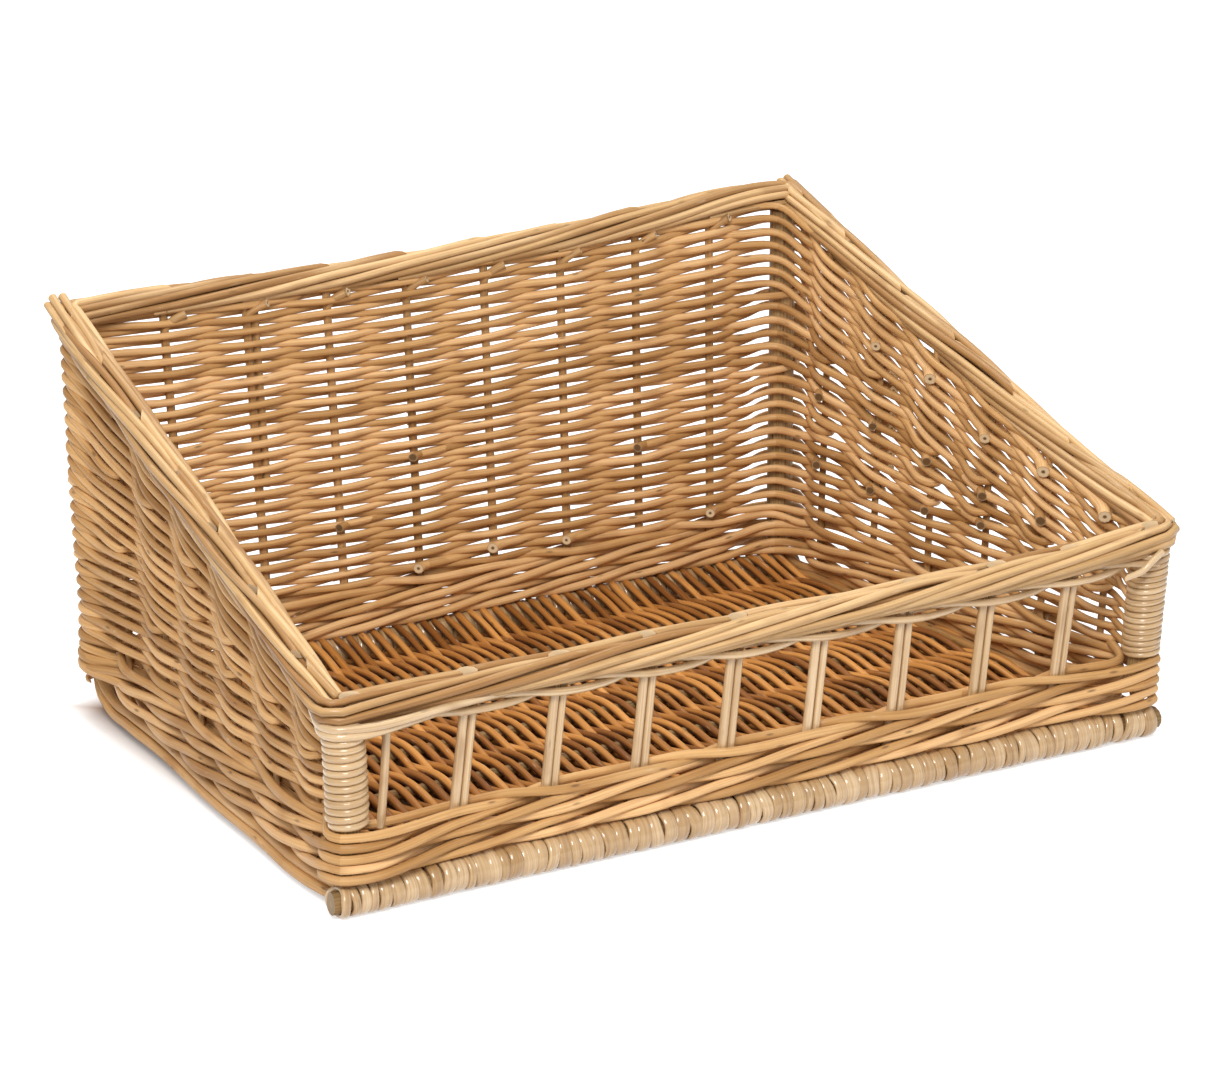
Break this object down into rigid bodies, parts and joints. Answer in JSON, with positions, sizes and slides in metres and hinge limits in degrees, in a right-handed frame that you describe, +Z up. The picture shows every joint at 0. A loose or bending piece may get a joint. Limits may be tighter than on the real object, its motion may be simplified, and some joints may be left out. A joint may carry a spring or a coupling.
{
  "type": "willow display basket",
  "caption": "Rectangular woven willow display basket with a high back, sloping sides, a low barred front with an open band, a rod border and two bound feet.",
  "frame": {"origin": "on the surface that the basket stands on, under the middle of the rim's plan", "axes": "+X to the right along the front, +Y from the low front to the high back, +Z up"},
  "size_m": [0.6, 0.424, 0.276],
  "materials": {
    "border": "satin",
    "weaver": "satin",
    "stake": "satin",
    "bark": "satin",
    "straw": "satin",
    "base": "satin"
  },
  "bodies": {
    "root": {"foot_stick_front": "bark", "foot_stick_back": "bark", "foot_binding_front": "straw", "foot_binding_back": "straw", "base_edge_left": "weaver", "base_edge_right": "weaver", "base_stick_1": "bark", "base_stick_2": "bark", "base_stick_3": "bark", "base_stick_4": "bark", "base_stick_5": "bark", "base_weave": "base", "corner_post_front_left": "bark", "corner_post_front_right": "bark", "corner_post_back_left": "bark", "corner_post_back_right": "bark", "post_winding_front_left": "straw", "post_winding_front_right": "straw", "back_stake_1": "stake", "back_stake_2": "stake", "back_stake_3": "stake", "back_stake_4": "stake", "back_stake_5": "stake", "back_stake_6": "stake", "back_stake_7": "stake", "back_stake_8": "stake", "left_stake_1": "stake", "left_stake_2": "stake", "left_stake_3": "stake", "left_stake_4": "stake", "left_stake_5": "stake", "left_stake_6": "stake", "right_stake_1": "stake", "right_stake_2": "stake", "right_stake_3": "stake", "right_stake_4": "stake", "right_stake_5": "stake", "right_stake_6": "stake", "front_stake_pair_1": "straw", "front_stake_pair_2": "straw", "front_stake_pair_3": "straw", "front_stake_pair_4": "straw", "front_stake_pair_5": "straw", "front_stake_pair_6": "straw", "front_stake_pair_7": "straw", "front_stake_pair_8": "straw", "front_lone_rod": "straw", "wale_front": "weaver", "wale_right": "weaver", "wale_back": "weaver", "wale_left": "weaver", "weave_right": "weaver", "weave_left": "weaver", "weave_back": "weaver", "front_fitch": "straw", "border_front": "border", "border_right": "border", "border_back": "border", "border_left": "border"}
  },
  "joints": []
}
